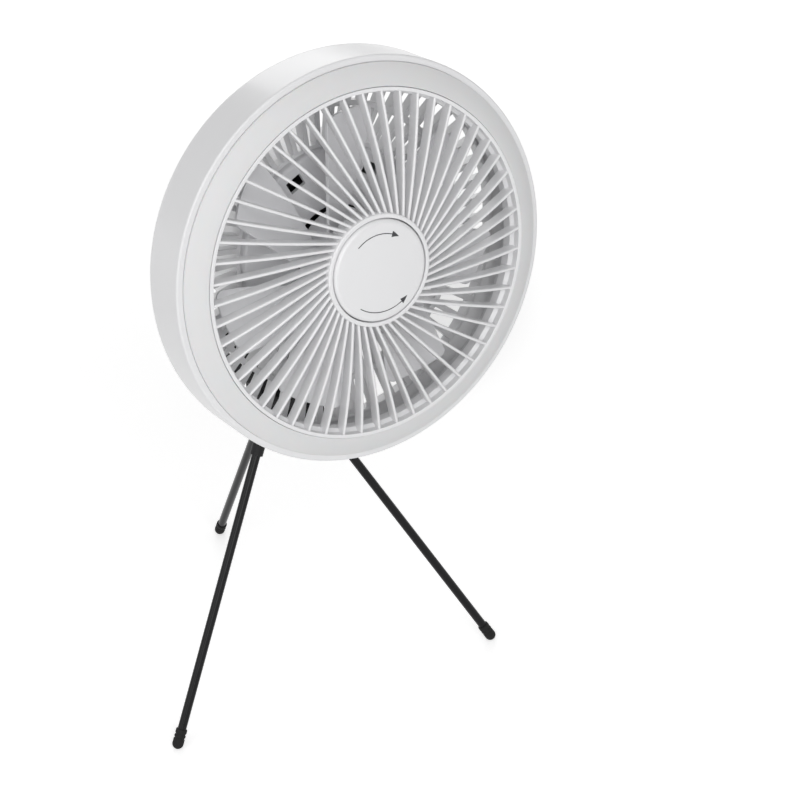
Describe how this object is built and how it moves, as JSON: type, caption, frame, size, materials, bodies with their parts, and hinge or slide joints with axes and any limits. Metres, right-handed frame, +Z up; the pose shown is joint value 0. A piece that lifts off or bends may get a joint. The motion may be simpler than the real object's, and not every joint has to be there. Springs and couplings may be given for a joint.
{
  "type": "portable camping fan",
  "caption": "Round battery fan with a lit front ring, a radial vane grille and a scent box, on a tilting arm and a folding three-legged stand.",
  "frame": {"origin": "on the ground at the middle of the whole fan's footprint box", "axes": "+Z up; the fan blows towards -Y, 8.84 degrees above the level; +X is to the right as the front is looked at"},
  "size_m": [0.2142, 0.2334, 0.4064],
  "materials": {
    "white_plastic": "satin",
    "frosted_plastic": "frosted",
    "button_plastic": "satin",
    "circuit_board": "solder mask",
    "led_body": "phosphor",
    "felt": "felt",
    "brass": "machined",
    "bearing_steel": "polished",
    "steel": "machined",
    "bail_steel": "nickel plated",
    "magnet": "sintered",
    "copper_wire": "enamelled",
    "battery_sleeve": "shrink sleeve over a can",
    "tray_plastic": "moulded",
    "clear_plastic": "clear",
    "dark_window": "smoked",
    "black_plastic": "fine texture",
    "black_metal": "satin paint",
    "black_rubber": "moulded"
  },
  "bodies": {
    "tripod": {"tripod_hub": "black_plastic", "leg_pins": "steel", "stand_screw": "steel", "swivel_pad": "black_rubber"},
    "arm": {"tilt_arm": "black_plastic", "brass_insert": "brass", "tilt_pin": "steel", "tilt_washers": "steel"},
    "head": {"drum_shell": "white_plastic", "light_diffuser": "frosted_plastic", "led_board": "circuit_board", "led_chips": "led_body", "duct_ring": "white_plastic", "front_grille": "white_plastic", "scent_pad": "felt", "bearing_tube": "brass", "bearings": "bearing_steel", "motor_stator": "steel", "motor_coils": "copper_wire", "motor_housing": "white_plastic", "pod_cover": "white_plastic", "pod_screws": "steel", "battery_cells": "battery_sleeve", "battery_tray": "tray_plastic", "main_board": "circuit_board", "usb_port": "steel", "button_switches": "tray_plastic", "indicator_lights": "clear_plastic", "sensor_window": "dark_window"},
    "impeller": {"impeller": "white_plastic", "rotor_can": "steel", "rotor_magnet": "magnet", "motor_shaft": "steel"},
    "cap": {"scent_cap": "white_plastic"},
    "bail": {"hanging_bail": "bail_steel"},
    "fan_button": {"fan_button": "button_plastic"},
    "light_button": {"light_button": "button_plastic"},
    "timer_button": {"timer_button": "button_plastic"},
    "left_leg": {"left_leg": "black_metal", "left_leg_knuckle": "black_plastic", "left_foot": "black_rubber"},
    "right_leg": {"right_leg": "black_metal", "right_leg_knuckle": "black_plastic", "right_foot": "black_rubber"},
    "rear_leg": {"rear_leg": "black_metal", "rear_leg_knuckle": "black_plastic", "rear_foot": "black_rubber"}
  },
  "joints": [
    {"name": "arm_swivel", "type": "hinge", "parent": "tripod", "child": "arm", "pos_m": [0.00213, -0.0023, 0.1759], "axis": [0, 0, 1], "continuous": true},
    {"name": "head_tilt", "type": "hinge", "parent": "arm", "child": "head", "pos_m": [0.00213, -0.0104, 0.2449], "axis": [-1, 0, 0], "range_deg": [-30, 81]},
    {"name": "impeller_spin", "type": "hinge", "parent": "head", "child": "impeller", "pos_m": [0.00213, -0.0902, 0.30184], "axis": [0, -0.9881, 0.1537], "continuous": true},
    {"name": "cap_twist", "type": "hinge", "parent": "head", "child": "cap", "pos_m": [0.00213, -0.11095, 0.30506], "axis": [0, -0.9881, 0.1537], "range_deg": [0, 32]},
    {"name": "bail_fold", "type": "hinge", "parent": "head", "child": "bail", "pos_m": [0.00213, -0.00511, 0.32706], "axis": [1, 0, 0], "range_deg": [0, 180]},
    {"name": "fan_button_press", "type": "slide", "parent": "head", "child": "fan_button", "axis": [0, -0.9881, 0.1537], "range_m": [0, 0.0006], "stiffness_N_per_m": 600, "springref_m": -0.0006},
    {"name": "light_button_press", "type": "slide", "parent": "head", "child": "light_button", "axis": [0, -0.9881, 0.1537], "range_m": [0, 0.0006], "stiffness_N_per_m": 600, "springref_m": -0.0006},
    {"name": "timer_button_press", "type": "slide", "parent": "head", "child": "timer_button", "axis": [0, -0.9881, 0.1537], "range_m": [0, 0.0006], "stiffness_N_per_m": 600, "springref_m": -0.0006},
    {"name": "left_leg_fold", "type": "hinge", "parent": "tripod", "child": "left_leg", "pos_m": [-0.01382, -0.00949, 0.1646], "axis": [0.4109, -0.9117, 0], "range_deg": [0, 31.4]},
    {"name": "right_leg_fold", "type": "hinge", "parent": "tripod", "child": "right_leg", "pos_m": [0.01634, -0.01252, 0.1646], "axis": [0.5841, 0.8117, 0], "range_deg": [0, 31.4]},
    {"name": "rear_leg_fold", "type": "hinge", "parent": "tripod", "child": "rear_leg", "pos_m": [0.00388, 0.01511, 0.1646], "axis": [-0.995, 0.1, 0], "range_deg": [0, 31.4]}
  ]
}
